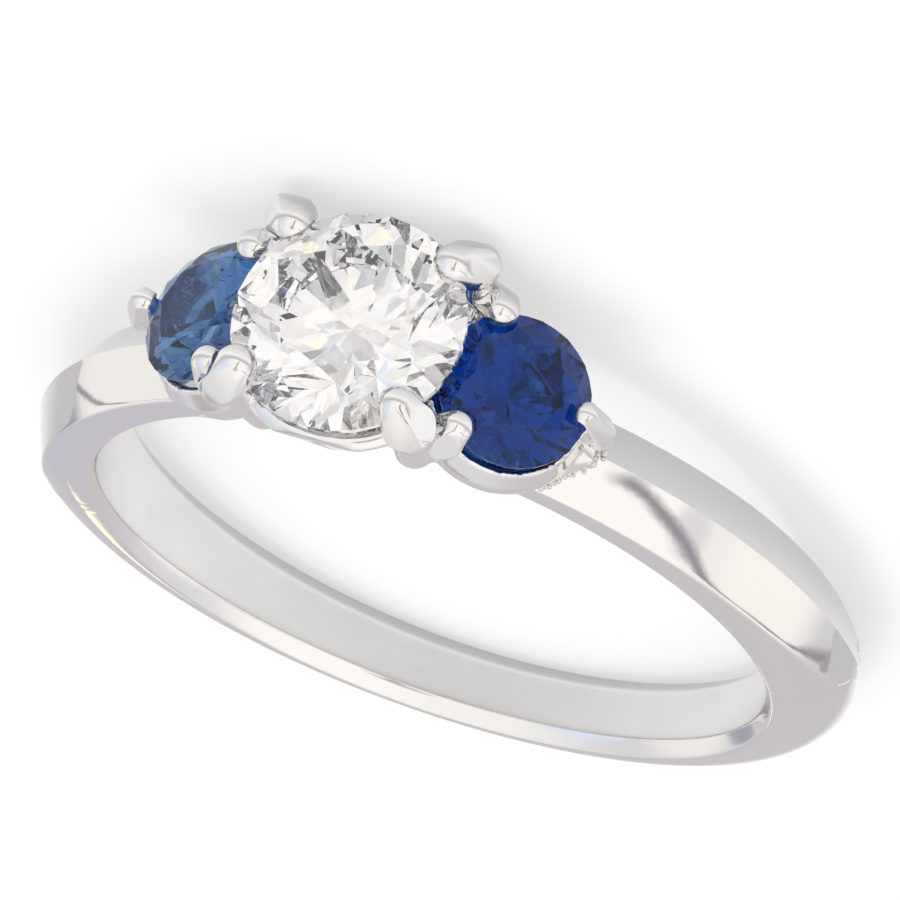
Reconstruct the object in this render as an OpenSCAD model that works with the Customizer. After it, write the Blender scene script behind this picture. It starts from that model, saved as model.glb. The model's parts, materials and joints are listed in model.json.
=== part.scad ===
// Three-stone ring: a round diamond between two round sapphires on a knife-edge shank.
// The ring lies on its side as it does on a table. The finger hole runs along Z, leaning by rest_tilt.
// The head points towards -Y and the origin is the centre of the finger hole.

/* [Finger hole] */
// bore of the shank, US size 6
hole_diameter = 16.5; // [15.7:0.1:17.5]

/* [Shank] */
// wall of the shank beside the finger hole
side_thickness = 2.08; // [1.9:0.02:2.2]
// wall of the shank opposite the stones
base_thickness = 1.6; // [1.4:0.05:1.7]
// widest part of the shank, a little above the hole's centre
side_width = 2.38; // [2.2:0.02:2.5]
// width of the shank opposite the stones
base_width = 1.86; // [1.7:0.02:2.0]
// radius of the rounded outside of the shank, seen in section
crown_radius = 1.3; // [1.25:0.05:1.5]
// fall of the two shoulder slopes from the ridge, in degrees
slope_angle = 21; // [20:0.5:22]
// extra fall of the slopes towards the stones, in degrees
slope_lean = 12; // [11:0.5:13]
// ridge radius beside the finger hole
ridge_radius = 10.24; // [10.2:0.01:10.3]

/* [Diamond] */
// girdle diameter of the centre stone
diamond_diameter = 5.4; // [5.3:0.02:5.5]
// girdle above the centre of the finger hole
diamond_height = 12.05; // [12:0.05:12.2]

/* [Sapphires] */
// girdle diameter of each side stone
sapphire_diameter = 3.58; // [3.5:0.02:3.64]
// centre of each side stone from the middle of the head
sapphire_offset = 3.72; // [3.7:0.01:3.8]
// girdle centre of each side stone above the centre of the finger hole
sapphire_height = 10.56; // [10.5:0.02:10.58]
// outward tilt of the side stones, in degrees
sapphire_tilt = 29; // [27:0.5:31]

/* [Claws] */
// radius of a claw of the centre stone
claw_radius = 0.6; // [0.56:0.01:0.62]
// radius of a claw of a side stone
small_claw_radius = 0.46; // [0.42:0.01:0.48]
// angle of the centre claws from the line through the three stones
claw_angle = 43; // [42:0.5:46]
// space between each stone and the metal
seat_gap = 0.04; // [0.03:0.01:0.05]

/* [Hidden] */
$fn = 96;

hole_radius = hole_diameter / 2;
big = 30;
round_steps = 240;
// the rounded outside is a revolved band whose centre sits a little towards the head
band_radius = hole_radius + side_thickness;
band_shift = side_thickness - base_thickness;
base_radius = band_radius - band_shift;
// the side faces are two large arcs, widest at widest_height above the hole's centre
widest_height = 2.6;
side_half = side_width / 2;
base_half = base_width / 2;
side_arc = pow(base_radius + widest_height, 2) / (2 * (side_half - base_half));
// the ridge is a circle with its centre below the hole's centre
ridge_shift = 1.82;

// the mouths of the finger hole are cones whose centre sits a little away from the head
mouth_shift = 0.28;
mouth_start = 0.62;

// half of the shank's width under the head
waist_half = 0.75;

// the centre cup: a rim under the girdle with flat sides that the ring lies on
rim_drop = 0.45;
rim_radius = diamond_diameter / 2 + 0.2;
rim_flat = diamond_diameter / 2 + 0.02;
rim_low = diamond_height - rim_drop - 0.2;

// the ring lies on the flat side of the rim and on the edge of the shank opposite
edge_depth = crown_radius - sqrt(crown_radius * crown_radius - base_half * base_half);
lie_rise = rim_flat - base_half;
lie_run = rim_low + base_radius - edge_depth;
rest_tilt = atan2(lie_rise, lie_run);

// turn a shape built with its axis up so that its axis points to the head
module to_head() {
  rotate([90, 0, 0]) children();
}

// place a shape built round a side stone's axis, side = 1 for +X and -1 for -X
module to_side_stone(side) {
  to_head()
    translate([side * sapphire_offset, 0, sapphire_height])
      rotate([0, side * sapphire_tilt, 0])
        children();
}

// Stones

// cut proportions as shares of the girdle diameter
table_share = 0.57;
crown_angle = 34;
pavilion_angle = 41;
girdle_share = 0.03;

function girdle_half(d) = d * girdle_share / 2;
function table_radius(d) = d * table_share / 2;
function table_height(d) = girdle_half(d) + (d / 2 - table_radius(d)) * tan(crown_angle);
function star_radius(d) = (d / 2 + table_radius(d) * cos(22.5)) / 2;
function star_height(d) = girdle_half(d) + (d / 2 - star_radius(d) * cos(22.5)) * tan(crown_angle);
function lower_radius(d) = d / 2 * 0.24;
function lower_height(d) = -girdle_half(d) - (d / 2 - lower_radius(d) * cos(22.5)) * tan(pavilion_angle);
function culet_depth(d) = girdle_half(d) + d / 2 * tan(pavilion_angle);

// a point at a radius, an angle and a height
function at(r, a, z) = [r * cos(a), r * sin(a), z];

// height of the plane through three points above a point in the XY plane
function plane_height(p, q, s, x, y) =
  let (n = cross(q - p, s - p))
  p[2] - (n[0] * (x - p[0]) + n[1] * (y - p[1])) / n[2];

// girdle point j of 32, up = 1 on the crown side and -1 on the pavilion side
function girdle_point(d, j, up) =
  let (half = up * girdle_half(d))
  let (corner = up > 0 ? at(star_radius(d), 22.5, star_height(d)) : at(lower_radius(d), 22.5, lower_height(d)))
  let (dip = plane_height(corner, at(d / 2, 0, half), at(d / 2, 22.5, half), d / 2 * cos(11.25), d / 2 * sin(11.25)))
  at(d / 2, j * 11.25, j % 2 == 0 ? half : dip);

// round brilliant: table, 8 stars, 8 kites, 16 upper and 16 lower girdle facets and 8 pavilion mains
module brilliant(d) {
  table = [for (k = [0:7]) at(table_radius(d), 45 * k, table_height(d))];
  stars = [for (k = [0:7]) at(star_radius(d), 45 * k + 22.5, star_height(d))];
  upper = [for (j = [0:31]) girdle_point(d, j, 1)];
  lower = [for (j = [0:31]) girdle_point(d, j, -1)];
  mains = [for (k = [0:7]) at(lower_radius(d), 45 * k + 22.5, lower_height(d))];
  s0 = 8;
  u0 = 16;
  l0 = 48;
  m0 = 80;
  culet = 88;
  polyhedron(
    points = concat(table, stars, upper, lower, mains, [[0, 0, -culet_depth(d)]]),
    faces = concat(
      [[for (k = [7:-1:0]) k]],
      [for (k = [0:7]) [(k + 1) % 8, s0 + k, k]],
      [for (k = [0:7]) [k, s0 + k, u0 + 4 * k, s0 + (k + 7) % 8]],
      [for (k = [0:7]) [s0 + k, u0 + 4 * k + 2, u0 + 4 * k + 1, u0 + 4 * k]],
      [for (k = [0:7]) [s0 + k, u0 + (4 * k + 4) % 32, u0 + 4 * k + 3, u0 + 4 * k + 2]],
      [for (j = [0:31]) [u0 + j, u0 + (j + 1) % 32, l0 + (j + 1) % 32, l0 + j]],
      [for (k = [0:7]) [m0 + k, l0 + 4 * k, l0 + 4 * k + 1, l0 + 4 * k + 2]],
      [for (k = [0:7]) [m0 + k, l0 + 4 * k + 2, l0 + 4 * k + 3, l0 + (4 * k + 4) % 32]],
      [for (k = [0:7]) [culet, m0 + (k + 7) % 8, l0 + 4 * k, m0 + k]]
    )
  );
}

// the room that a stone takes in the metal, all round it and open above the table
module stone_space(d) {
  g = seat_gap;
  top = table_height(d) + g;
  rotate_extrude()
    polygon([
      [0, -culet_depth(d) - 1.5 * g],
      [lower_radius(d) + g, lower_height(d) - g],
      [d / 2 + g, -girdle_half(d) - 0.5 * g],
      [d / 2 + g, girdle_half(d) + 0.5 * g],
      [star_radius(d) + g, star_height(d) + g],
      [table_radius(d) + g, top],
      [0, top]
    ]);
}

// Claws

// a round bar from one point to another, tapering from radius r1 to r2
module bar(from, to, r1, r2) {
  run = to - from;
  translate(from)
    rotate([0, acos(run[2] / norm(run)), atan2(run[1], run[0])])
      cylinder(h = norm(run), r1 = r1, r2 = r2);
}

// head of a claw: two balls in a taper, the large one on the origin and the small one at the tip
module claw_head(radius, tip, length) {
  slant = asin((radius - tip) / length);
  rotate_extrude()
    intersection() {
      union() {
        circle(r = radius);
        translate([0, length]) circle(r = tip);
        polygon([
          [0, 0],
          [radius * cos(slant), radius * sin(slant)],
          [tip * cos(slant), length + tip * sin(slant)],
          [0, length]
        ]);
      }
      translate([0, -big / 2]) square([big, big]);
    }
}

// a claw at a stone's girdle: the leg rises outward to the elbow, and the head bends in over the crown
// the elbow has two flats on its outer side
module claw(d, radius, length, lean, foot, angle) {
  elbow = [d / 2 + 0.45 * radius, 0, 0.12 * radius];
  rotate([0, 0, angle])
    difference() {
      union() {
        bar(foot, elbow, radius * 0.8, radius * 0.97);
        translate(elbow) rotate([0, -lean, 0]) claw_head(radius, radius * 0.8, length);
      }
      translate(elbow)
        for (s = [-1, 1])
          rotate([0, 0, s * 44])
            rotate([0, 52, 0])
              translate([-big / 2, -big / 2, radius * 0.88])
                cube(big);
    }
}

// Shank

// section of the rounded band, radius along x
module band_section() {
  translate([band_radius - crown_radius, 0]) circle(r = crown_radius);
  translate([hole_radius - 2, -crown_radius]) square([band_radius - crown_radius - hole_radius + 2, 2 * crown_radius]);
}

// one shoulder slope all the way round: a cone that leans towards the stones
module slope_cone() {
  drop = 6 * tan(slope_angle);
  translate([0, ridge_shift, 0])
    rotate([-slope_lean, 0, 0])
      cylinder(h = 12, r1 = ridge_radius + drop, r2 = ridge_radius - drop, center = true, $fn = round_steps);
}

// flat outline of the side faces, seen along the line through the stones
module side_outline() {
  intersection() {
    translate([-widest_height, side_half - side_arc]) circle(r = side_arc, $fn = 720);
    translate([-widest_height, side_arc - side_half]) circle(r = side_arc, $fn = 720);
  }
}

// the softened mouth of the finger hole on one side, deeper opposite the stones
module hole_mouth() {
  translate([0, mouth_shift, mouth_start])
    cylinder(h = 1.2, r1 = hole_radius - mouth_shift, r2 = hole_radius - mouth_shift + 1, $fn = round_steps);
}

module shank() {
  difference() {
    intersection() {
      translate([0, -band_shift, 0]) rotate_extrude($fn = round_steps) band_section();
      slope_cone();
      mirror([0, 0, 1]) slope_cone();
      rotate([90, 0, 90]) linear_extrude(height = big, center = true) side_outline();
    }
    head_room();
  }
}

// the waist of the shank under the head: a wide round cut from each side
module head_room() {
  to_head()
    for (s = [-1, 1])
      translate([0, s * (waist_half + 12), 8.4])
        cylinder(h = 6, r = 12, center = true, $fn = round_steps);
}

// Head

// web of the centre cup between two claws: it is deep at the claws and thin half way
module web() {
  rotate([90, 0, 0])
    linear_extrude(height = big, center = true)
      polygon([
        [-2.4, diamond_height - 1.9],
        [0, diamond_height - 0.85],
        [2.4, diamond_height - 1.9],
        [2.4, diamond_height],
        [-2.4, diamond_height]
      ]);
}

module centre_cup() {
  top = diamond_height - rim_drop;
  // the rim with its four webs
  intersection() {
    rotate_extrude()
      polygon([
        [1.2, diamond_height - 1.9],
        [2.3, diamond_height - 1.9],
        [rim_radius, rim_low],
        [rim_radius - 0.2, top],
        [1.2, top]
      ]);
    translate([-big / 2, -rim_flat, 0]) cube([big, 2 * rim_flat, big]);
    union() {
      web();
      rotate([0, 0, 90]) web();
    }
  }
  // the inner cone that carries the rim
  rotate_extrude()
    polygon([
      [0, 8.6],
      [0.95, 8.6],
      [2.36, diamond_height - 0.75],
      [2.2, top],
      [0, top]
    ]);
}

module centre_claws() {
  translate([0, 0, diamond_height])
    for (a = [claw_angle, 180 - claw_angle, 180 + claw_angle, -claw_angle])
      claw(diamond_diameter, claw_radius, 0.66, 42, [2.5, 0, -2], a);
}

// bowl of a side stone, its axis up and the girdle plane at zero
module side_bowl() {
  difference() {
    rotate_extrude()
      polygon([
        [0, -2.3],
        [1.1, -2.3],
        [1.65, -1.8],
        [1.95, -1.15],
        [2.04, -0.5],
        [1.92, -0.3],
        [0, -0.3]
      ]);
    translate([0, 0, -1.3]) cylinder(h = 1.3, r1 = 0.75, r2 = 2.15);
  }
}

module side_claws() {
  claw(sapphire_diameter, small_claw_radius, 0.62, 48, [1.75, 0, -1.2], 0);
  for (a = [124, -124])
    claw(sapphire_diameter, small_claw_radius, 0.42, 42, [1.75, 0, -1.2], a);
}

// braces that fold each claw's foot into the side cup next to it
module braces() {
  for (x = [-1, 1])
    for (y = [-1, 1])
      bar([x * 1.86, y * 1.74, 10.25], [x * 2.85, y * 0.6, 9.15], 0.47, 0.4);
}

// the soldered metal without the room for the stones and the finger
module metal() {
  shank();
  to_head() {
    centre_cup();
    centre_claws();
    braces();
  }
  for (side = [-1, 1])
    to_side_stone(side) {
      side_bowl();
      rotate([0, 0, side > 0 ? 0 : 180]) side_claws();
    }
}

module lying() {
  rotate([-rest_tilt, 0, 0]) children();
}

// Pieces

module ring_mount() {
  color([0.9, 0.9, 0.9])
    lying()
      difference() {
        metal();
        cylinder(h = big, r = hole_radius, center = true, $fn = round_steps);
        hole_mouth();
        mirror([0, 0, 1]) hole_mouth();
        to_head() translate([0, 0, diamond_height]) stone_space(diamond_diameter);
        to_side_stone(1) stone_space(sapphire_diameter);
        to_side_stone(-1) stone_space(sapphire_diameter);
        to_head() cylinder(h = 10, r = 0.5);
      }
}

module centre_diamond() {
  color([0.85, 0.92, 0.95])
    lying() to_head() translate([0, 0, diamond_height]) brilliant(diamond_diameter);
}

module left_sapphire() {
  color([0.1, 0.2, 0.6])
    lying() to_side_stone(1) brilliant(sapphire_diameter);
}

module right_sapphire() {
  color([0.1, 0.2, 0.6])
    lying() to_side_stone(-1) brilliant(sapphire_diameter);
}

ring_mount();
centre_diamond();
left_sapphire();
right_sapphire();
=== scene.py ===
"""Looks of a three-stone ring on its side: a diamond between two sapphires on a knife-edge shank.

Lengths in the ring's classes are in millimetres in its own upright frame, where the finger hole runs
along Z and the head points towards -Y. The ring is then turned by its rest tilt and scaled to metres.
"""
import json
import logging
import math
from dataclasses import dataclass
from enum import Enum
from typing import List, Sequence, Tuple, Union

import bmesh
import bpy
import numpy as np
from mathutils import Matrix, Quaternion, Vector

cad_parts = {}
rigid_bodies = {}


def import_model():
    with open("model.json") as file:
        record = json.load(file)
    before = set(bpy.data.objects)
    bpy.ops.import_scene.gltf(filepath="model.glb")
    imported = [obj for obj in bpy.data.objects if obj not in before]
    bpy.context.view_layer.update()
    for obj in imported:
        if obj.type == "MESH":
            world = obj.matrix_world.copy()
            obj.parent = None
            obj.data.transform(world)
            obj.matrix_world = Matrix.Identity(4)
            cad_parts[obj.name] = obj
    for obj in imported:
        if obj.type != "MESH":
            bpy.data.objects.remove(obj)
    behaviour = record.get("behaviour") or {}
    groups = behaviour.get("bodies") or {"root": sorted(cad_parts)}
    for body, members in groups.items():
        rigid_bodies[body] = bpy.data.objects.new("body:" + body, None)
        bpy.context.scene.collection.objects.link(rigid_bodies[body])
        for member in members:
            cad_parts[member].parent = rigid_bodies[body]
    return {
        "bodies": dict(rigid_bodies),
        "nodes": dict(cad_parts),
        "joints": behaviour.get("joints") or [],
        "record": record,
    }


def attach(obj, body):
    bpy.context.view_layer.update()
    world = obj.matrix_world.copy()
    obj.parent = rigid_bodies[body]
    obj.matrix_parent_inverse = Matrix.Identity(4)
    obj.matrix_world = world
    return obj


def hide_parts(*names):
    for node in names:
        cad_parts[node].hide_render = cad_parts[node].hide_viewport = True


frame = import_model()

log = logging.getLogger("ring")
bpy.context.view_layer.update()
MM = 0.001
REST_TILT = math.radians(4.904932)

Colour = Tuple[float, float, float, float]
Tint = Tuple[float, float, float]
Place = Tuple[float, float, float]
Ball = Tuple[Place, float]
Points = Tuple[Tuple[float, float], ...]
Feed = Union[float, Colour, bpy.types.NodeSocket]

# The polish: how much finer hairlines are than the drift, their height against the waves', and the waves'
# scale. A stone's colour zones change between the two edges. Edges sharper than the angle stay sharp.
HAIR_FINENESS = 9.0
HAIR_HEIGHT = 0.02
WAVE_SCALE = 260.0
ZONE_EDGES = (0.15, 0.85)
SHARP_ANGLE = math.radians(32)


class Slot(Enum):
    """Material slots of the record."""

    PLATINUM = "platinum"
    DIAMOND = "diamond"
    SAPPHIRE = "sapphire"


class Blend(Enum):
    """What a Mix node mixes: its data type, and the places of its two inputs and of its output."""

    NUMBER = ("FLOAT", 2, 3, 0)
    COLOUR = ("RGBA", 6, 7, 2)


# Shader nodes


def feed(tree: bpy.types.NodeTree, value: Feed, socket: bpy.types.NodeSocket) -> None:
    """Link an output to an input, or set the input to a plain value.

    Args:
        tree: The nodes that both belong to.
        value: The output, or the value.
        socket: The input.
    """
    if isinstance(value, bpy.types.NodeSocket):
        tree.links.new(value, socket)
    else:
        socket.default_value = value


def add_math(tree: bpy.types.NodeTree, operation: str, *terms: Feed) -> bpy.types.NodeSocket:
    """Add a Math node.

    Args:
        tree: The nodes that it joins.
        operation: The node's operation.
        terms: What its inputs take, in their order.

    Returns:
        The socket of its value.
    """
    node = tree.nodes.new("ShaderNodeMath")
    node.operation = operation
    for value, socket in zip(terms, node.inputs):
        feed(tree, value, socket)
    return node.outputs["Value"]


def add_fade(
    tree: bpy.types.NodeTree, value: bpy.types.NodeSocket, none: float, full: float
) -> bpy.types.NodeSocket:
    """Add a soft step from 0 to 1.

    Args:
        tree: The nodes that it joins.
        value: What the step goes by.
        none: The value at which the step starts, at 0.
        full: The value at which it is 1.

    Returns:
        The socket of the step.
    """
    node = tree.nodes.new("ShaderNodeMapRange")
    node.interpolation_type = "SMOOTHSTEP"
    node.inputs["From Min"].default_value = none
    node.inputs["From Max"].default_value = full
    tree.links.new(value, node.inputs["Value"])
    return node.outputs["Result"]


def add_blend(
    tree: bpy.types.NodeTree, kind: Blend, share: bpy.types.NodeSocket, first: Feed, second: Feed
) -> bpy.types.NodeSocket:
    """Add a Mix node.

    Args:
        tree: The nodes that it joins.
        kind: What it mixes.
        share: How much of the second there is.
        first: The number or colour mixed from.
        second: The number or colour mixed to.

    Returns:
        The socket of the mixed number or colour.
    """
    data_type, low, high, out = kind.value
    node = tree.nodes.new("ShaderNodeMix")
    node.data_type = data_type
    tree.links.new(share, node.inputs[0])
    feed(tree, first, node.inputs[low])
    feed(tree, second, node.inputs[high])
    return node.outputs[out]


def add_noise(tree: bpy.types.NodeTree, scale: Feed, detail: float) -> bpy.types.NodeSocket:
    """Add a noise that stays on the object.

    Args:
        tree: The nodes that it joins.
        scale: The noise's scale.
        detail: The noise's detail.

    Returns:
        The socket of its factor.
    """
    place = tree.nodes.new("ShaderNodeTexCoord")
    noise = tree.nodes.new("ShaderNodeTexNoise")
    noise.inputs["Detail"].default_value = detail
    feed(tree, scale, noise.inputs["Scale"])
    tree.links.new(place.outputs["Object"], noise.inputs["Vector"])
    return noise.outputs["Fac"]


# Finishes


def new_material(name: str) -> Tuple[bpy.types.Material, bpy.types.NodeTree, bpy.types.Node]:
    """Start a node material.

    Args:
        name: The material's name.

    Returns:
        The material, its node tree and its Principled BSDF.
    """
    material = bpy.data.materials.new(name)
    material.use_nodes = True
    tree = material.node_tree
    return material, tree, tree.nodes["Principled BSDF"]


def polish_group() -> bpy.types.NodeTree:
    """Build the shared group for polished metal: a tone that drifts, and faint hairlines and waves.

    Returns:
        The group's node tree.
    """
    group = bpy.data.node_groups.new("polish", "ShaderNodeTree")
    sockets = (
        ("Bright", "INPUT", "NodeSocketColor"),
        ("Shade", "INPUT", "NodeSocketColor"),
        ("Size", "INPUT", "NodeSocketFloat"),
        ("Smooth", "INPUT", "NodeSocketFloat"),
        ("Rough", "INPUT", "NodeSocketFloat"),
        ("Colour", "OUTPUT", "NodeSocketColor"),
        ("Roughness", "OUTPUT", "NodeSocketFloat"),
        ("Height", "OUTPUT", "NodeSocketFloat"),
    )
    for label, side, kind in sockets:
        group.interface.new_socket(label, in_out=side, socket_type=kind)
    source = group.nodes.new("NodeGroupInput").outputs
    result = group.nodes.new("NodeGroupOutput").inputs
    drift = add_noise(group, source["Size"], 3.0)
    hair = add_noise(group, add_math(group, "MULTIPLY", source["Size"], HAIR_FINENESS), 2.0)
    wave = add_noise(group, WAVE_SCALE, 0.0)
    tone = add_blend(group, Blend.COLOUR, drift, source["Bright"], source["Shade"])
    dull = add_blend(group, Blend.NUMBER, drift, source["Smooth"], source["Rough"])
    height = add_math(group, "MULTIPLY_ADD", hair, HAIR_HEIGHT, wave)
    for made, label in ((tone, "Colour"), (dull, "Roughness"), (height, "Height")):
        group.links.new(made, result[label])
    return group


@dataclass(frozen=True)
class MetalFinish:
    """A polished precious metal whose tone and polish drift a little over the surface."""

    name: str
    bright: Colour
    shade: Colour
    size: float
    smooth: float
    rough: float
    relief: float

    def make(self, group: bpy.types.NodeTree) -> bpy.types.Material:
        """Build the material.

        Args:
            group: The shared polish group.

        Returns:
            The metal material.
        """
        material, tree, shader = new_material(self.name)
        shader.inputs["Metallic"].default_value = 1.0
        polish = tree.nodes.new("ShaderNodeGroup")
        polish.node_tree = group
        polish.inputs["Bright"].default_value = self.bright
        polish.inputs["Shade"].default_value = self.shade
        polish.inputs["Size"].default_value = self.size
        polish.inputs["Smooth"].default_value = self.smooth
        polish.inputs["Rough"].default_value = self.rough
        bump = tree.nodes.new("ShaderNodeBump")
        bump.inputs["Strength"].default_value = 1.0
        bump.inputs["Distance"].default_value = self.relief
        tree.links.new(polish.outputs["Colour"], shader.inputs["Base Color"])
        tree.links.new(polish.outputs["Roughness"], shader.inputs["Roughness"])
        tree.links.new(polish.outputs["Height"], bump.inputs["Height"])
        tree.links.new(bump.outputs["Normal"], shader.inputs["Normal"])
        return material


@dataclass(frozen=True)
class StoneFinish:
    """A clear or coloured cut stone with faint colour zones inside, for a slot of the record."""

    name: str
    slot: Slot
    pale: Colour
    deep: Colour
    zone_size: float
    refraction: float
    sheen: Colour
    absorption: Colour
    density: float

    def make(self) -> bpy.types.Material:
        """Build the material.

        Returns:
            The stone's material.
        """
        material, tree, shader = new_material(self.name)
        shader.inputs["Transmission Weight"].default_value = 1.0
        shader.inputs["Roughness"].default_value = 0.0
        shader.inputs["IOR"].default_value = self.refraction
        shader.inputs["Specular Tint"].default_value = self.sheen
        place = tree.nodes.new("ShaderNodeTexCoord")
        zones = tree.nodes.new("ShaderNodeTexVoronoi")
        zones.inputs["Scale"].default_value = self.zone_size
        level = tree.nodes.new("ShaderNodeSeparateColor")
        tone = tree.nodes.new("ShaderNodeValToRGB")
        for stop, edge, colour in zip(tone.color_ramp.elements, ZONE_EDGES, (self.pale, self.deep)):
            stop.position = edge
            stop.color = colour
        tree.links.new(place.outputs["Object"], zones.inputs["Vector"])
        tree.links.new(zones.outputs["Color"], level.inputs["Color"])
        tree.links.new(level.outputs["Red"], tone.inputs["Fac"])
        tree.links.new(tone.outputs["Color"], shader.inputs["Base Color"])
        if self.density > 0:
            volume = tree.nodes.new("ShaderNodeVolumeAbsorption")
            volume.inputs["Color"].default_value = self.absorption
            volume.inputs["Density"].default_value = self.density
            output = tree.nodes["Material Output"]
            tree.links.new(volume.outputs["Volume"], output.inputs["Volume"])
        return material


PLATINUM = MetalFinish(
    "polished platinum", (0.87, 0.855, 0.84, 1), (0.84, 0.835, 0.84, 1), 260.0, 0.02, 0.05, 0.00005)
SATIN = MetalFinish(
    "satin platinum", (0.86, 0.85, 0.835, 1), (0.80, 0.80, 0.795, 1), 900.0, 0.20, 0.30, 0.00008)
SOLDER = MetalFinish(
    "solder", (0.86, 0.84, 0.80, 1), (0.66, 0.65, 0.66, 1), 1500.0, 0.08, 0.3, 0.00006)
CLEAR = StoneFinish(
    "diamond", Slot.DIAMOND, (1, 0.985, 0.96, 1), (0.95, 0.97, 1, 1), 1600.0, 2.417,
    (1, 1, 1, 1), (1, 1, 1, 1), 0.0)
BLUE = StoneFinish(
    "sapphire", Slot.SAPPHIRE, (1, 1, 1, 1), (0.34, 0.44, 0.72, 1), 1500.0, 1.77,
    (0.35, 0.45, 0.6, 1), (0.16, 0.51, 0.79, 1), 1450.0)
STEEL_BLUE = StoneFinish(
    "paler sapphire", Slot.SAPPHIRE, (1, 1, 1, 1), (0.45, 0.56, 0.78, 1), 1500.0, 1.77,
    (0.6, 0.75, 0.9, 1), (0.34, 0.60, 0.80, 1), 900.0)


# Studio


@dataclass(frozen=True)
class Softbox:
    """A soft light panel, placed in metres and aimed at the ring."""

    name: str
    place: Place
    width: float
    height: float
    power: float
    colour: Tint

    def set_up(self) -> bpy.types.Object:
        """Add the panel to the scene.

        Returns:
            The light's object.
        """
        data = bpy.data.lights.new(self.name, "AREA")
        data.shape = "RECTANGLE"
        data.size = self.width
        data.size_y = self.height
        data.energy = self.power
        data.color = self.colour
        panel = bpy.data.objects.new(self.name, data)
        bpy.context.scene.collection.objects.link(panel)
        panel.location = self.place
        panel.rotation_mode = "QUATERNION"
        panel.rotation_quaternion = (-Vector(self.place)).to_track_quat("-Z", "Y")
        panel.visible_glossy = False
        panel.visible_transmission = False
        return panel


@dataclass(frozen=True)
class Glow:
    """A soft round patch of the light tent, which fades from its inner to its outer radius.

    All four measures are in degrees. Azimuth 0 is on the stones' side of the ring, and 90 is towards +X.
    """

    azimuth: float
    elevation: float
    inner: float
    outer: float
    colour: Tint

    def direction(self) -> Place:
        """Work out where the patch is.

        Returns:
            Its direction from the ring.
        """
        azimuth, elevation = math.radians(self.azimuth), math.radians(self.elevation)
        flat = math.cos(elevation)
        return math.sin(azimuth) * flat, -math.cos(azimuth) * flat, math.sin(elevation)

    def lay_over(
        self, tree: bpy.types.NodeTree, towards: bpy.types.NodeSocket, below: bpy.types.NodeSocket
    ) -> bpy.types.NodeSocket:
        """Mix the patch over the colour below it.

        Args:
            tree: The world's nodes.
            towards: The direction looked in.
            below: The colour so far.

        Returns:
            The mixed colour.
        """
        near = tree.nodes.new("ShaderNodeVectorMath")
        near.operation = "DOT_PRODUCT"
        near.inputs[1].default_value = self.direction()
        tree.links.new(towards, near.inputs[0])
        outer, inner = math.cos(math.radians(self.outer)), math.cos(math.radians(self.inner))
        mask = add_fade(tree, near.outputs["Value"], outer, inner)
        return add_blend(tree, Blend.COLOUR, mask, below, (*self.colour, 1))


@dataclass(frozen=True)
class TentSeam:
    """A dark seam of the light tent along points of azimuth and elevation, in degrees.

    It is full within core of its line and gone beyond edge, and it fades out over fade degrees at the ends.
    """

    points: Points
    core: float
    edge: float
    colour: Tint
    fade: float = 8.0
    last_overrun: float = 2.0

    def height(self, tree: bpy.types.NodeTree, azimuth: bpy.types.NodeSocket) -> bpy.types.NodeSocket:
        """Add the nodes that give the line's elevation.

        Args:
            tree: The world's nodes.
            azimuth: The azimuth looked in, in degrees.

        Returns:
            The socket of the elevation, in degrees.
        """
        line = tree.nodes.new("ShaderNodeFloatCurve")
        curve = line.mapping.curves[0]
        curve.points[0].location = (0, self.points[0][1] / 180 + 0.5)
        curve.points[1].location = (1, self.points[-1][1] / 180 + 0.5)
        for turn, height in self.points:
            curve.points.new(turn / 360 + 0.5, height / 180 + 0.5)
        line.mapping.update()
        share = add_math(tree, "ADD", add_math(tree, "MULTIPLY", azimuth, 1 / 360), 0.5)
        tree.links.new(share, line.inputs["Value"])
        centred = add_math(tree, "SUBTRACT", line.outputs["Value"], 0.5)
        return add_math(tree, "MULTIPLY", centred, 180.0)

    def lay_over(
        self, tree: bpy.types.NodeTree, towards: bpy.types.NodeSocket, below: bpy.types.NodeSocket
    ) -> bpy.types.NodeSocket:
        """Mix the seam over the colour below it.

        Args:
            tree: The world's nodes.
            towards: The direction looked in.
            below: The colour so far.

        Returns:
            The mixed colour.
        """
        split = tree.nodes.new("ShaderNodeSeparateXYZ")
        tree.links.new(towards, split.inputs["Vector"])
        degrees = 180 / math.pi
        forward = add_math(tree, "MULTIPLY", split.outputs["Y"], -1.0)
        turn = add_math(tree, "ARCTAN2", split.outputs["X"], forward)
        azimuth = add_math(tree, "MULTIPLY", turn, degrees)
        rise = add_math(tree, "ARCSINE", split.outputs["Z"])
        elevation = add_math(tree, "MULTIPLY", rise, degrees)
        height = self.height(tree, azimuth)
        apart = add_math(tree, "ABSOLUTE", add_math(tree, "SUBTRACT", elevation, height))
        first, last = self.points[0][0], self.points[-1][0]
        mask = add_fade(tree, apart, self.edge, self.core)
        for none, full in ((first - self.fade / 2, first), (last + self.last_overrun, last - self.fade)):
            mask = add_math(tree, "MULTIPLY", mask, add_fade(tree, azimuth, none, full))
        return add_blend(tree, Blend.COLOUR, mask, below, (*self.colour, 1))


LEFT_SEAM = (
    (74, 31), (82, 28.5), (89, 26), (95, 21.5), (100, 16.5), (104, 12.5), (108, 8.5), (112, 4.5),
    (116, 0.5), (120, -3.5), (125, -8.5))
RIGHT_SEAM = (
    (-147, -7), (-136, 1), (-128, 8), (-122, 15), (-110, 24), (-99, 30), (-87, 32), (-75, 34),
    (-63, 36), (-55, 39))
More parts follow.
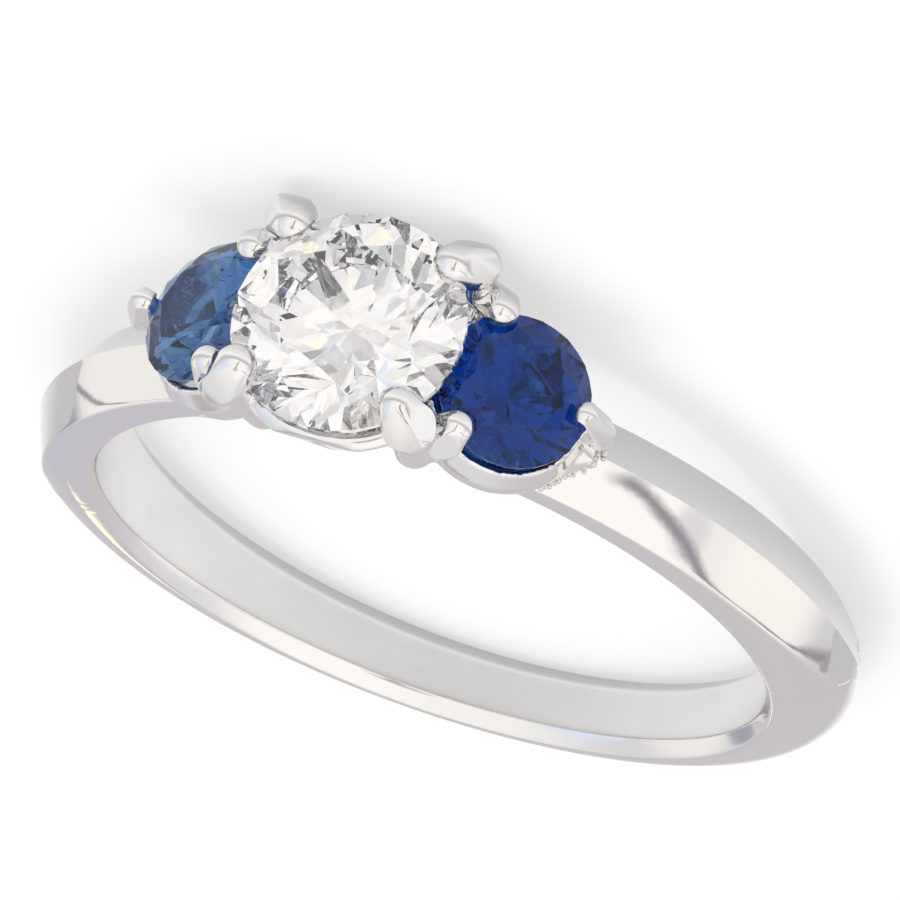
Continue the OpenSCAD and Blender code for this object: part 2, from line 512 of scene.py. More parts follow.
# The tent's patches and seams, each laid over the ones before it.
TENT = (
    Glow(-20, 40, 35, 75, (1.06, 1.03, 0.99)),
    Glow(180, 2, 12, 60, (0.65, 0.615, 0.625)),
    Glow(145, 48, 6, 18, (0.57, 0.51, 0.51)),
    Glow(-50, 42, 22, 42, (1.14, 1.11, 1.07)),
    Glow(-108, 16, 10, 25, (1.10, 1.05, 1.01)),
    Glow(98, 12, 12, 26, (1.00, 0.97, 0.93)),
    Glow(-83, 30, 1, 7, (0.84, 0.82, 0.84)),
    TentSeam(RIGHT_SEAM, 0.1, 2.4, (0.36, 0.34, 0.37)),
    TentSeam(LEFT_SEAM, 0.1, 0.9, (0.36, 0.36, 0.40), 3.0),
    Glow(-138, 1, 0.4, 3.4, (0.46, 0.42, 0.41)),
    Glow(126, 3, 4, 11, (0.42, 0.42, 0.47)),
    Glow(150, 14, 4, 16, (0.60, 0.60, 0.66)),
    *(Glow(-19, height, 1, 4.5, (0.26, 0.26, 0.27)) for height in range(8, 50, 6)),
    Glow(-17, 48, 3, 14, (0.58, 0.56, 0.57)),
    Glow(55, 30, 6, 24, (0.80, 0.90, 1.10)),
    Glow(-10, 5, 4, 12, (1.2, 1.1, 0.85)),
    Glow(160, 11.5, 0.5, 2.2, (1.4, 1.2, 0.9)),
)


@dataclass
class Studio:
    """The pale floor with its glow of painted light, the light tent and the camera.

    The floor's height and half size and the camera's place are in millimetres. A stop of the floor's
    painted glow gives its colour for a share of slant, from looked at straight down to looked along. The
    glow is painted light: it lifts the floor over the ring's shadows, and it is darker where the metal
    reflects the floor steeply or at grazing.
    """

    floor_height: float = -1.765
    floor_half: float = 400.0
    floor_colour: Colour = (0.38, 0.38, 0.38, 1)
    # Painted light: the floor's glow by slant, brightest where the camera sees the floor and darker where
    # the metal reflects it
    floor_painted_glow: Tuple[Tuple[float, Colour], ...] = (
        (0.0, (0.42, 0.43, 0.45, 1)), (0.45, (0.52, 0.52, 0.52, 1)), (0.56, (0.64, 0.64, 0.64, 1)),
        (0.62, (0.64, 0.64, 0.64, 1)), (0.86, (0.2, 0.19, 0.2, 1)))
    tent_level: Colour = (0.76, 0.76, 0.78, 1)
    tent_top: Colour = (0.80, 0.80, 0.81, 1)
    camera_place: Place = (-73.7931, -215.3511, 104.4056)
    camera_turn: Tuple[float, float, float, float] = (-0.029082, -0.192895, -0.500452, 0.843501)
    lens: float = 429.863
    clear_bounces: int = 24
    glossy_bounces: int = 12
    panel: Softbox = Softbox("top panel", (0.05, 0.1, 0.6), 0.4, 0.4, 1.0, (1, 1, 1))

    def lay_floor(self) -> bpy.types.Object:
        """Lay a plain pale floor under the ring, with a glow of painted light that changes with the slant
        it is seen at: it lifts the floor over the ring's shadows and darkens it where the metal reflects it
        steeply or at grazing.

        Returns:
            The floor's object.
        """
        mesh = bpy.data.meshes.new("floor")
        bm = bmesh.new()
        bmesh.ops.create_grid(bm, x_segments=1, y_segments=1, size=self.floor_half * MM)
        bmesh.ops.translate(bm, verts=bm.verts, vec=(0, 0, self.floor_height * MM))
        bm.to_mesh(mesh)
        bm.free()
        floor = bpy.data.objects.new("floor", mesh)
        bpy.context.scene.collection.objects.link(floor)
        material, tree, shader = new_material("pale floor")
        shader.inputs["Base Color"].default_value = self.floor_colour
        # Painted light: the glow follows the slant the floor is seen at, so it fills the ring's shadows and
        # shades the floor's reflections in the metal
        slant = tree.nodes.new("ShaderNodeLayerWeight")
        painted_glow = tree.nodes.new("ShaderNodeValToRGB")
        stops = painted_glow.color_ramp.elements
        first, *middle, last = self.floor_painted_glow
        stops[0].position, stops[0].color = first
        stops[1].position, stops[1].color = last
        for place, colour in middle:
            stops.new(place).color = colour
        shader.inputs["Emission Strength"].default_value = 1.0
        tree.links.new(slant.outputs["Facing"], painted_glow.inputs["Fac"])
        tree.links.new(painted_glow.outputs["Color"], shader.inputs["Emission Color"])
        shader.inputs["Roughness"].default_value = 0.9
        shader.inputs["Specular IOR Level"].default_value = 0.0
        mesh.materials.append(material)
        return floor

    def hang_tent(self) -> None:
        """Light the ring with a pale tent of soft patches and dark seams."""
        world = bpy.data.worlds.new("tent")
        world.use_nodes = True
        bpy.context.scene.world = world
        tree = world.node_tree
        place = tree.nodes.new("ShaderNodeTexCoord")
        towards = place.outputs["Generated"]
        split = tree.nodes.new("ShaderNodeSeparateXYZ")
        ramp = tree.nodes.new("ShaderNodeValToRGB")
        ramp.color_ramp.elements[0].color = self.tent_level
        ramp.color_ramp.elements[1].color = self.tent_top
        tree.links.new(towards, split.inputs["Vector"])
        tree.links.new(split.outputs["Z"], ramp.inputs["Fac"])
        colour = ramp.outputs["Color"]
        for layer in TENT:
            colour = layer.lay_over(tree, towards, colour)
        tree.links.new(colour, tree.nodes["Background"].inputs["Color"])

    def place_camera(self) -> bpy.types.Object:
        """Put the camera where the photograph was taken from, seen from the ring.

        Returns:
            The camera's object.
        """
        data = bpy.data.cameras.new("camera")
        data.sensor_width = 36.0
        data.lens = self.lens
        data.clip_start = 0.01
        data.clip_end = 10.0
        camera = bpy.data.objects.new("camera", data)
        bpy.context.scene.collection.objects.link(camera)
        camera.location = Vector(self.camera_place) * MM
        camera.rotation_mode = "QUATERNION"
        camera.rotation_quaternion = Quaternion(self.camera_turn)
        bpy.context.scene.camera = camera
        return camera

    def set_up(self) -> None:
        """Make the floor, the light and the camera."""
        self.place_camera()
        self.lay_floor()
        self.hang_tent()
        self.panel.set_up()
        scene = bpy.context.scene
        scene.view_settings.view_transform = "Standard"
        scene.cycles.max_bounces = self.clear_bounces
        scene.cycles.transmission_bounces = self.clear_bounces
        scene.cycles.glossy_bounces = self.glossy_bounces
        scene.cycles.caustics_reflective = False
        scene.cycles.caustics_refractive = False


# The ring


def lie_down() -> Matrix:
    """Turn the upright ring in millimetres into the lying ring in metres."""
    return Matrix.Scale(MM, 4) @ Matrix.Rotation(-REST_TILT, 4, "X")


def to_head() -> Matrix:
    """Turn a shape built with its axis up so that its axis points to the head."""
    return Matrix.Rotation(math.pi / 2, 4, "X")


def finish_piece(
    bm: bmesh.types.BMesh, name: str, materials: Sequence[bpy.types.Material], node: str
) -> bpy.types.Object:
    """Lay an upright mesh in millimetres down as a piece that stands for a CAD node.

    Args:
        bm: The piece's mesh, freed here.
        name: The piece's name.
        materials: Its finishes.
        node: The CAD node that it stands for.

    Returns:
        The piece's object.
    """
    bmesh.ops.transform(bm, matrix=lie_down(), verts=bm.verts)
    bmesh.ops.recalc_face_normals(bm, faces=bm.faces)
    mesh = bpy.data.meshes.new(name)
    bm.to_mesh(mesh)
    bm.free()
    mesh.polygons.foreach_set("use_smooth", [True] * len(mesh.polygons))
    mesh.set_sharp_from_angle(angle=SHARP_ANGLE)
    for material in materials:
        mesh.materials.append(material)
    piece = bpy.data.objects.new(name, mesh)
    bpy.context.scene.collection.objects.link(piece)
    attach(piece, "root")
    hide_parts(node)
    triangles = sum(len(face.vertices) - 2 for face in mesh.polygons)
    log.info("%s: %d triangles", name, triangles)
    return piece


def soften(sides: Sequence[np.ndarray], softness: float) -> np.ndarray:
    """Join the sides of a body with softly rounded edges.

    Args:
        sides: Distance outside each side.
        softness: Size of the rounding, in millimetres.

    Returns:
        The distance outside the joined body.
    """
    stack = np.stack(sides)
    top = stack.max(axis=0)
    return top + softness * np.log(np.exp((stack - top) / softness).sum(axis=0))


@dataclass
class Shank:
    """The band: knife-edge shoulders that run out in a leaf tip, and a rounded lower half.

    Slope and lean are in degrees: how steeply the slopes fall from the ridge, and how far their axis leans
    from the hole's. A section is found on rays from a point that is core_offset into the metal, by halving
    the reach, and its points stand closer where it bends.
    """

    hole_radius: float = 8.25
    side_thickness: float = 2.08
    base_thickness: float = 1.6
    half_width: float = 1.19
    base_half: float = 0.93
    crown: float = 1.46
    fullness: float = 1.95
    slope: float = 21.0
    lean: float = 12.0
    bulge: float = 0.05
    ridge: float = 10.24
    ridge_shift: float = 1.82
    widest: float = 2.6
    mouth_shift: float = 0.28
    mouth_start: float = 0.62
    mouth_slope: float = 1.2
    waist: float = 0.75
    waist_radius: float = 12.0
    waist_end: float = -5.4
    leaf_middle: float = -1.5
    leaf_reach: float = 2.25
    leaf_half: float = 1.17
    leaf_softness: float = 0.02
    softness: float = 0.016
    core_offset: float = 0.8
    reach: float = 3.0
    inside_margin: float = 0.012
    edge_weight: float = 1.1
    steps: int = 720
    rays: int = 721
    halvings: int = 34
    half_section: int = 48

    def depth(self, x: np.ndarray, y: np.ndarray, z: np.ndarray) -> np.ndarray:
        """Measure how far points are outside the metal, with softly rounded edges.

        Args:
            x: Across the ring, in millimetres.
            y: Away from the head.
            z: Along the finger, zero or more.

        Returns:
            The distance, negative inside the metal.
        """
        band_radius = self.hole_radius + self.side_thickness
        band_shift = self.side_thickness - self.base_thickness
        base_radius = band_radius - band_shift
        from_band = np.hypot(x, y + band_shift) - (band_radius - self.crown)
        arc = (base_radius + self.widest) ** 2 / (2 * (self.half_width - self.base_half))
        half = self.half_width - (y + self.widest) ** 2 / (2 * arc)
        full, crown = self.fullness, np.maximum(from_band, 0) / self.crown
        rounded = (crown ** full + (z / half) ** full) ** (1 / full) - 1
        hollow = np.sqrt(np.maximum(self.waist_radius ** 2 - x * x, 0))
        waist = self.waist + self.waist_radius - hollow
        lean, slope = math.radians(self.lean), math.radians(self.slope)
        along = y - self.ridge_shift
        turned_y = along * math.cos(lean) - z * math.sin(lean)
        turned_z = along * math.sin(lean) + z * math.cos(lean)
        plump = self.bulge * z * (z - self.half_width)
        from_ridge = np.hypot(x, turned_y) - self.ridge
        filed = (from_ridge + turned_z * math.tan(slope) + plump) * math.cos(slope)
        leaf = np.sqrt(np.maximum(1 - (z / self.leaf_half) ** 2, 0))
        leaf_end = self.leaf_middle + self.leaf_reach * leaf - y
        mouth_radius = self.hole_radius - self.mouth_shift + (z - self.mouth_start) / self.mouth_slope
        mouth = (mouth_radius - np.hypot(x, y - self.mouth_shift)) / math.hypot(1, 1 / self.mouth_slope)
        return soften([
            rounded,
            np.where(y < self.waist_end, z - waist, -1.0),
            self.hole_radius - np.hypot(x, y),
            mouth,
            -soften([-filed, -leaf_end], self.leaf_softness),
        ], self.softness)

    def half_sections(self) -> np.ndarray:
        """Find the outline of half the section at every step round the hole.

        Returns:
            Radius and height, one row for each step, with points closer together round the edges.
        """
        turns = np.arange(self.steps) * (2 * math.pi / self.steps)
        turn, ray = np.meshgrid(turns, np.linspace(0, math.pi, self.rays), indexing="ij")
        low, high = np.zeros_like(ray), np.full_like(ray, self.reach)
        middle = self.hole_radius + self.core_offset
        for _ in range(self.halvings):
            half = (low + high) / 2
            radius = middle + half * np.cos(ray)
            out = self.depth(radius * np.cos(turn), radius * np.sin(turn), half * np.sin(ray)) > 0
            high = np.where(out, half, high)
            low = np.where(out, low, half)
        reach = (low + high) / 2
        radius, height = middle + reach * np.cos(ray), reach * np.sin(ray)
        step_r, step_h = np.diff(radius, axis=1), np.diff(height, axis=1)
        length = np.hypot(step_r, step_h)
        bend = np.abs(np.diff(np.unwrap(np.arctan2(step_h, step_r), axis=1), axis=1))
        bend = np.pad(bend, ((0, 0), (0, 1)))
        weight = length / length.sum(axis=1, keepdims=True)
        weight += self.edge_weight * bend / bend.sum(axis=1, keepdims=True)
        place = np.concatenate([np.zeros((self.steps, 1)), np.cumsum(weight, axis=1)], axis=1)
        place /= place[:, -1:]
        even = np.linspace(0, 1, self.half_section + 1)
        return np.array([
            np.stack([np.interp(even, row, radius[k]), np.interp(even, row, height[k])], axis=-1)
            for k, row in enumerate(place)
        ])

    def build(self, outside: bpy.types.Material, inside: bpy.types.Material) -> bpy.types.Object:
        """Spin a ring of points round the finger hole and shape it to the band's sections.

        Args:
            outside: The polished metal.
            inside: The satin metal of the finger hole.

        Returns:
            The band's object.
        """
        middle = self.hole_radius + self.core_offset
        bm = bmesh.new()
        bmesh.ops.create_circle(bm, segments=2 * self.half_section, radius=self.core_offset / 2)
        bmesh.ops.rotate(bm, verts=bm.verts, matrix=Matrix.Rotation(math.pi / 2, 3, "X"))
        bmesh.ops.translate(bm, verts=bm.verts, vec=(middle, 0, 0))
        bmesh.ops.spin(
            bm, geom=bm.verts[:] + bm.edges[:], cent=(0, 0, 0), axis=(0, 0, 1), dvec=(0, 0, 0),
            angle=2 * math.pi, steps=self.steps, use_merge=True)
        rows = self.half_sections()
        for vert in bm.verts:
            turn = math.atan2(vert.co.y, vert.co.x)
            ray = math.atan2(vert.co.z, math.hypot(vert.co.x, vert.co.y) - middle)
            step = round(turn / (2 * math.pi / self.steps)) % self.steps
            place = round(ray / (math.pi / self.half_section))
            radius, height = rows[step, abs(place)]
            angle = step * 2 * math.pi / self.steps
            vert.co = (radius * math.cos(angle), radius * math.sin(angle), math.copysign(height, place))
        for face in bm.faces:
            centre = face.calc_center_median()
            from_hole = math.hypot(centre.x, centre.y) - self.hole_radius
            face.material_index = int(from_hole < self.inside_margin)
        return finish_piece(bm, "shank", (outside, inside), "ring_mount")


@dataclass(frozen=True)
class StoneSeat:
    """A round stone's place in the head: its girdle diameter and the frame of its axis.

    The cut's measures are shares of the diameter, and its angles are in degrees.
    """

    diameter: float
    frame: Matrix
    gap: float = 0.04
    half_girdle: float = 0.015
    culet_cone: float = 0.12
    half_table: float = 0.285
    crown_angle: float = 34.0
    pavilion_angle: float = 41.0
    half_facet: float = 22.5

    def outline(self) -> List[Tuple[float, float]]:
        """List the corners of the room that the stone takes.

        Returns:
            Radius and height of each, from under the culet to over the table.
        """
        width, gap, girdle = self.diameter, self.gap, self.diameter * self.half_girdle
        cone, table = width * self.culet_cone, width * self.half_table
        cosine = math.cos(math.radians(self.half_facet))
        star = (width / 2 + table * cosine) / 2
        crown = math.tan(math.radians(self.crown_angle))
        pavilion = math.tan(math.radians(self.pavilion_angle))
        top = girdle + (width / 2 - table) * crown + gap
        return [
            (0, -girdle - width / 2 * pavilion - 1.5 * gap),
            (cone + gap, -girdle - (width / 2 - cone * cosine) * pavilion - gap),
            (width / 2 + gap, -girdle - 0.5 * gap),
            (width / 2 + gap, girdle + 0.5 * gap),
            (star + gap, girdle + (width / 2 - star * cosine) * crown + gap),
            (table + gap, top),
            (0, top),
        ]

    def clear(self, points: np.ndarray) -> np.ndarray:
        """Push points that stand in the stone's room out to its nearest side.

        Args:
            points: Places in the upright ring, in millimetres.

        Returns:
            The places with none inside the stone's room.
        """
        frame = np.array(self.frame)
        local = (points - frame[:3, 3]) @ frame[:3, :3]
        radius = np.maximum(np.hypot(local[:, 0], local[:, 1]), 1e-9)
        corners = np.array(self.outline())
        start, end = corners[:-1], corners[1:]
        run = end - start
        normal = np.stack([run[:, 1], -run[:, 0]], axis=1)
        normal /= np.linalg.norm(normal, axis=1, keepdims=True)
        flat = np.stack([radius, local[:, 2]], axis=1)
        away = np.einsum("pki,ki->pk", flat[:, None] - start[None], normal)
        nearest = away.argmax(axis=1)
        inside = away.max(axis=1) < 0
        shift = -away[np.arange(len(flat)), nearest][:, None] * normal[nearest]
        moved = np.where(inside[:, None], flat + shift, flat)
        scale = moved[:, 0] / radius
        local = np.stack([local[:, 0] * scale, local[:, 1] * scale, moved[:, 1]], axis=1)
        return local @ frame[:3, :3].T + frame[:3, 3]


@dataclass(frozen=True)
class StoneLayout:
    """Where the stones sit over the hole's centre: girdle diameters, heights and the sapphires' tilt."""

    diamond: float = 5.4
    diamond_height: float = 12.05
    sapphire: float = 3.58
    sapphire_offset: float = 3.72
    sapphire_height: float = 10.56
    sapphire_tilt: float = 29.0

    def centre_seat(self) -> StoneSeat:
        """Give the diamond's place."""
        return StoneSeat(self.diamond, to_head() @ Matrix.Translation((0, 0, self.diamond_height)))

    def side_seat(self, side: int) -> StoneSeat:
        """Work out a sapphire's place.

        Args:
            side: 1 for +X and -1 for -X.

        Returns:
            The sapphire's seat.
        """
        place = Matrix.Translation((side * self.sapphire_offset, 0, self.sapphire_height))
        tilt = Matrix.Rotation(side * math.radians(self.sapphire_tilt), 4, "Y")
        return StoneSeat(self.sapphire, to_head() @ (place @ tilt))


@dataclass(frozen=True)
class ClawShape:
    """Proportions of a claw: a leg from foot to neck, and a plump head from root to tip.

    Lean is the head's inward lean, and flat turns are the directions of its flats, all in degrees. Flare is
    how far the flats open outward. The other fields but radius and length are shares of the head's radius.
    """

    radius: float
    length: float
    lean: float
    flat_turns: Tuple[float, ...] = (38, -38, 142, -142)
    flat_depth: float = 0.77
    flare: float = 0.04
    foot: float = 0.78
    neck: float = 0.76
    bend_out: float = 0.45
    bend_up: float = 0.12
    root: float = 0.86
    root_drop: float = 0.35
    tip: float = 0.8


@dataclass(frozen=True)
class CupRim:
    """The rim under the diamond, turned and then filed to webs, flat faces and a waist.

    Heights are over the hole's centre. The webs fall from the middle of each side up to web_half away from
    it. The faces across the finger are flat, and the sides towards the sapphires are cut in to the waist,
    which opens beyond waist_start.
    """

    low: float = 10.07
    middle: float = 10.775
    top: float = 11.6
    edge: float = 0.2
    web_top: float = 11.12
    web_fall: float = 0.4375
    web_half: float = 2.4
    web_margin: float = 0.21
    flat: float = 2.72
    waist: float = 1.95
    waist_start: float = 1.5
    waist_opening: float = 1.5
    waist_top: float = 11.1
    waist_rise: float = 0.3

    def outline(self) -> List[Tuple[float, float]]:
        """List the corners of the rim's section before it is filed.

        Returns:
            Radius and height of each.
        """
        return [
            (2.2, self.top), (2.7, self.top), (2.9, self.top - self.edge), (2.6, self.middle),
            (2.3, self.low), (1.2, self.low)]

    def file(self, part: bmesh.types.BMesh) -> bmesh.types.BMesh:
        """File the turned rim.

        Args:
            part: The turned rim, changed here.

        Returns:
            The same rim, filed.
        """
        for vert in part.verts:
            across, along = abs(vert.co.x), abs(vert.co.y)
            out = max(across if across < self.web_half else 0, along if along < self.web_half else 0)
            web = self.web_top - self.web_fall * out
            vert.co.z = max(vert.co.z, min(web, self.top - self.web_margin))
            vert.co.y = max(-self.flat, min(self.flat, vert.co.y))
            past = max(0, along - self.waist_start)
            limit = self.waist + past * self.waist_opening
            if across > limit:
                vert.co.x = math.copysign(limit, vert.co.x)
                vert.co.z = min(vert.co.z, self.waist_top + self.waist_rise * past)
        return part


@dataclass
class Head:
    """The soldered head: a cup under the diamond, two bowls, ten claws and the braces between them.

    A foot is where a claw's leg starts in its stone's frame, and a claw angle is its place round the stone.
    Balls are given by centre and radius for the side of +X and one half along the finger, and mirrored.
    """

    layout: StoneLayout = StoneLayout()
    rim: CupRim = CupRim()
    cone_outline: Points = (
        (0.5, 8.4), (0.95, 8.4), (2.36, 11.3), (2.25, 11.53), (1.9, 11.15), (0.6, 9.62), (0.5, 9.5))
    bowl_outline: Points = (
        (0, -1.68), (0.42, -1.3), (0.75, -1.3), (1.76, -0.36), (1.86, -0.34), (2.09, -0.86),
        (2.10, -1.10), (1.85, -1.70), (1.1, -2.35), (0, -2.35))
    centre_claw: ClawShape = ClawShape(0.63, 0.44, 46)
    inner_claw: ClawShape = ClawShape(0.53, 0.34, 42, (35, -35, 145, -145), 0.74, 0.05)
    outer_claw: ClawShape = ClawShape(0.47, 0.50, 40, (38, -38, 105, -105), 0.70, -0.10, 0.36, 0.5)
    centre_foot: Place = (2.5, 0, -2)
    side_foot: Place = (1.75, 0, -1.2)
    centre_angle: float = 43.0
    inner_angle: float = 124.0
    brace_balls: Tuple[Ball, ...] = (((1.86, 1.74, 10.25), 0.47), ((2.85, 0.6, 9.15), 0.4))
    gusset_top: Ball = ((4.55, 0, 8.75), 0.35)
    gusset_balls: Tuple[Ball, ...] = (
        ((4.3, 0.75, 8.8), 0.3), ((4.22, 0.84, 8.02), 0.16), ((4.7, 0.5, 8.0), 0.16),
        ((5.1, 0.12, 8.08), 0.18))
    voxel: float = 0.055
    smoothing: int = 3

    def add_balls(
        self, bm: bmesh.types.BMesh, frame: Matrix, balls: Sequence[Tuple[Sequence[float], float]],
        flats: Sequence[Tuple[Vector, Vector]] = (),
    ) -> None:
        """Add a body stretched over balls, with flats filed on it.

        Args:
            bm: The head's mesh.
            frame: The frame that the balls are placed in.
            balls: Centre and radius of each ball.
            flats: A point and an outward direction for each flat.
        """
        part = bmesh.new()
        for centre, radius in balls:
            bmesh.ops.create_icosphere(
                part, subdivisions=4, radius=radius, matrix=Matrix.Translation(Vector(centre)))
        bmesh.ops.delete(part, geom=part.edges[:], context="EDGES_FACES")
        bmesh.ops.convex_hull(part, input=part.verts[:], use_existing_faces=False)
        bmesh.ops.delete(part, geom=[v for v in part.verts if not v.link_faces], context="VERTS")
        for point, outward in flats:
            bmesh.ops.bisect_plane(
                part, geom=part.verts[:] + part.edges[:] + part.faces[:],
                plane_co=point, plane_no=outward, clear_outer=True)
            rim = [edge for edge in part.edges if edge.is_boundary]
            if rim:
                bmesh.ops.contextual_create(part, geom=rim)
        self.join(bm, part, frame)

    def join(self, bm: bmesh.types.BMesh, part: bmesh.types.BMesh, frame: Matrix) -> None:
        """Move a part to its frame and join it to the head's mesh.

        Args:
            bm: The head's mesh.
            part: The part's mesh, freed here.
            frame: The part's frame.
        """
        bmesh.ops.transform(part, matrix=frame, verts=part.verts)
        bmesh.ops.recalc_face_normals(part, faces=part.faces)
        carrier = bpy.data.meshes.new("carrier")
        part.to_mesh(carrier)
        part.free()
        bm.from_mesh(carrier)
        bpy.data.meshes.remove(carrier)

    def turned(self, outline: Sequence[Tuple[float, float]], steps: int = 128) -> bmesh.types.BMesh:
        """Turn a closed outline round the axis, as on a lathe.

        Args:
            outline: Radius and height of each corner.
            steps: Steps round the axis.

        Returns:
            The turned body.
        """
        part = bmesh.new()
        corners = [part.verts.new((radius, 0, height)) for radius, height in outline]
        for first, second in zip(corners, corners[1:] + corners[:1]):
            if not (first.co.x == 0 and second.co.x == 0):
                part.edges.new((first, second))
        bmesh.ops.spin(
            part, geom=part.verts[:] + part.edges[:], cent=(0, 0, 0), axis=(0, 0, 1), dvec=(0, 0, 0),
            angle=2 * math.pi, steps=steps, use_merge=True)
        bmesh.ops.remove_doubles(part, verts=part.verts, dist=1e-5)
        return part

    def claw(
        self, bm: bmesh.types.BMesh, tips: bmesh.types.BMesh, seat: StoneSeat, shape: ClawShape,
        foot: Place, angle: float,
    ) -> None:
        """Add a claw: a leg up to the girdle, and a plump head with filed flats that bends in.

        Args:
            bm: The head's mesh, which takes the leg.
            tips: The mesh of the claws' heads.
            seat: The stone that the claw holds.
            shape: The claw's proportions.
            foot: Foot of the leg in the seat's frame.
            angle: Place round the stone, in degrees.
        """
        radius = shape.radius
        frame = seat.frame @ Matrix.Rotation(math.radians(angle), 4, "Z")
        bend = Vector((seat.diameter / 2 + shape.bend_out * radius, 0, shape.bend_up * radius))
        axis = Vector((-math.sin(math.radians(shape.lean)), 0, math.cos(math.radians(shape.lean))))
        flats = []
        for turn in shape.flat_turns:
            across = Vector((axis.z, 0, -axis.x))
            across.rotate(Quaternion(axis, math.radians(turn)))
            outward = (across - axis * shape.flare).normalized()
            flats.append((bend + outward * radius * shape.flat_depth, outward))
        self.add_balls(bm, frame, [(foot, radius * shape.foot), (bend, radius * shape.neck)])
        self.add_balls(tips, frame, [
            (bend + axis * -shape.root_drop * radius, radius * shape.root), (bend, radius),
            (bend + axis * shape.length, radius * shape.tip)], flats)

    def centre_cup(self, bm: bmesh.types.BMesh) -> None:
        """Add the rim under the diamond with its four webs, and the cone that carries it."""
        self.join(bm, self.rim.file(self.turned(self.rim.outline())), to_head())
        self.join(bm, self.turned(self.cone_outline), to_head())

    def side_bowl(self, bm: bmesh.types.BMesh, seat: StoneSeat) -> None:
        """Add the bowl under a sapphire."""
        self.join(bm, self.turned(self.bowl_outline), seat.frame)

    def clear_seats(self, bm: bmesh.types.BMesh) -> None:
        """Move a mesh out of the room of the three stones.

        Args:
            bm: The mesh, changed here.
        """
        points = np.array([vert.co for vert in bm.verts])
        for seat in (self.layout.centre_seat(), self.layout.side_seat(1), self.layout.side_seat(-1)):
            points = seat.clear(points)
        for vert, point in zip(bm.verts, points):
            vert.co = point

    def mirrored(self, balls: Sequence[Ball], side: int, along: int) -> List[Ball]:
        """Give the balls of one side of the head, side and along being 1 or -1."""
        return [((side * x, along * y, z), radius) for (x, y, z), radius in balls]

    def gusset(self, bm: bmesh.types.BMesh, side: int) -> None:
        """Fill the corner between a bowl and its shoulder, as the solder does.

        Args:
            bm: The head's mesh.
            side: 1 for +X and -1 for -X.
        """
        balls = self.mirrored([self.gusset_top], side, 1)
        for along in (-1, 1):
            balls += self.mirrored(self.gusset_balls, side, along)
        self.add_balls(bm, to_head(), balls)

    def build(self, material: bpy.types.Material) -> bpy.types.Object:
        """Build all bodies, melt them into one skin, and clear the stones' room.

        Args:
            material: The metal.

        Returns:
            The head's object.
        """
        bm, tips = bmesh.new(), bmesh.new()
        self.centre_cup(bm)
        centre, turn = self.layout.centre_seat(), self.centre_angle
        for angle in (turn, 180 - turn, 180 + turn, -turn):
            self.claw(bm, tips, centre, self.centre_claw, self.centre_foot, angle)
        for side in (-1, 1):
            seat = self.layout.side_seat(side)
            self.side_bowl(bm, seat)
            turn = 0 if side > 0 else 180
            self.claw(bm, tips, seat, self.outer_claw, self.side_foot, turn)
            for angle in (self.inner_angle, -self.inner_angle):
                self.claw(bm, tips, seat, self.inner_claw, self.side_foot, turn + angle)
            for along in (-1, 1):
                self.add_balls(bm, to_head(), self.mirrored(self.brace_balls, side, along))
            self.gusset(bm, side)
        self.clear_seats(tips)
        finish_piece(tips, "claw_tips", (material,), "ring_mount")
        head = self.melted(bm)
        self.clear_seats(head)
        return finish_piece(head, "claw_head", (material,), "ring_mount")

    def melted(self, bm: bmesh.types.BMesh) -> bmesh.types.BMesh:
        """Melt bodies that run into each other into one smooth skin.

        Args:
            bm: The bodies, freed here.

        Returns:
            The skin.
        """
        skin = bpy.data.meshes.new("skin")
        bm.to_mesh(skin)
        bm.free()
        carrier = bpy.data.objects.new("skin", skin)
        bpy.context.scene.collection.objects.link(carrier)
        melt = carrier.modifiers.new("melt", "REMESH")
        melt.mode = "VOXEL"
        melt.voxel_size = self.voxel
        closed = carrier.evaluated_get(bpy.context.evaluated_depsgraph_get()).to_mesh()
        head = bmesh.new()
        head.from_mesh(closed)
        bpy.data.objects.remove(carrier)
        for _ in range(self.smoothing):
            bmesh.ops.smooth_vert(
                head, verts=head.verts, factor=0.5, use_axis_x=True, use_axis_y=True, use_axis_z=True)
        return head


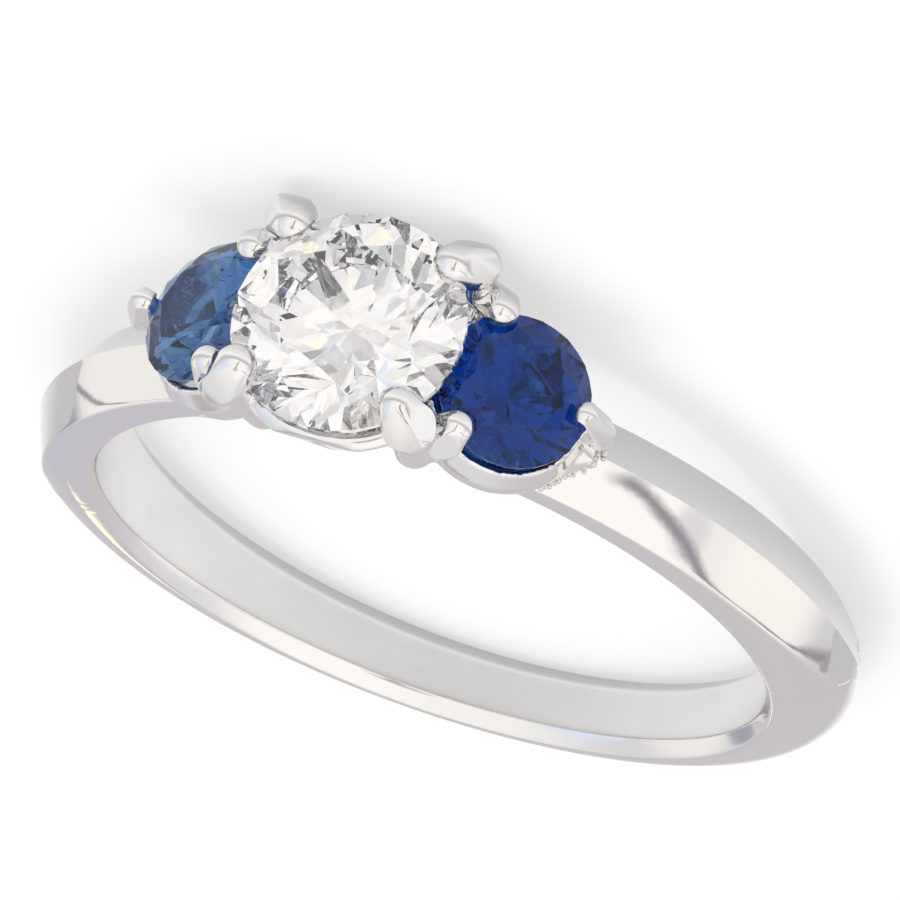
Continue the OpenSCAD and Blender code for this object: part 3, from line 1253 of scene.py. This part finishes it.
@dataclass
class SolderSeam:
    """The rows of small solder beads where the head's gussets meet the shoulders.

    Each row is an arrow whose tip stands out from the middle, whose ends run back, and which reaches to
    both sides. Its line on the metal is found by halving between outside and inside, two places along Y.
    """

    shank: Shank
    beads: int = 100
    tip: float = 5.36
    run: float = 1.07
    reach: float = 1.03
    outside: float = -10.5
    inside: float = -7.0
    halvings: int = 24
    scatter: float = 0.045
    sink: float = 0.02
    stretch: Tuple[float, float] = (0.7, 1.4)
    radii: Tuple[float, float] = (0.045, 0.085)
    seed: int = 11

    def seam(self, side: int) -> np.ndarray:
        """Follow the arrow-shaped line of solder over one shoulder.

        Args:
            side: 1 for +X and -1 for -X.

        Returns:
            Points of the line, in the upright ring, in millimetres.
        """
        across = np.linspace(-1, 1, self.beads)
        x = side * (self.tip - self.run * np.abs(across))
        z = self.reach * across
        low, high = np.full(self.beads, self.outside), np.full(self.beads, self.inside)
        for _ in range(self.halvings):
            middle = (low + high) / 2
            clear = self.shank.depth(x, middle, np.abs(z)) > 0
            low, high = np.where(clear, middle, low), np.where(clear, high, middle)
        return np.stack([x, (low + high) / 2, z], axis=1)

    def build(self, material: bpy.types.Material) -> bpy.types.Object:
        """Set the beads along both seams.

        Args:
            material: The solder's finish.

        Returns:
            The beads' object.
        """
        rng = np.random.default_rng(self.seed)
        bm = bmesh.new()
        for side in (-1, 1):
            for point in self.seam(side):
                place = Vector(point) + Vector(rng.normal(0, self.scatter, 3))
                place.y -= self.sink
                stretch = Matrix.Diagonal((*rng.uniform(*self.stretch, 3), 1))
                bmesh.ops.create_icosphere(
                    bm, subdivisions=2, radius=rng.uniform(*self.radii),
                    matrix=Matrix.Translation(place) @ stretch)
        return finish_piece(bm, "solder_seam", (material,), "ring_mount")


@dataclass(frozen=True)
class Stones:
    """The three stones, which keep the shapes of their CAD nodes and get a finish each."""

    finishes: Tuple[Tuple[str, StoneFinish], ...] = (
        ("centre_diamond", CLEAR), ("left_sapphire", STEEL_BLUE), ("right_sapphire", BLUE))

    def dress(self) -> None:
        """Put each stone's finish on its node."""
        for node, finish in self.finishes:
            mesh = frame["nodes"][node].data
            mesh.materials.clear()
            mesh.materials.append(finish.make())
            log.info("%s: %d triangles, slot %s", node, len(mesh.polygons), finish.slot.value)


def main() -> None:
    """Build the studio and the ring's looks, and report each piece."""
    logging.basicConfig(level=logging.INFO, format="%(name)s: %(message)s")
    Studio().set_up()
    group = polish_group()
    metal = PLATINUM.make(group)
    shank = Shank()
    shank.build(metal, SATIN.make(group))
    Head().build(metal)
    SolderSeam(shank).build(SOLDER.make(group))
    Stones().dress()


if __name__ == "__main__":
    main()
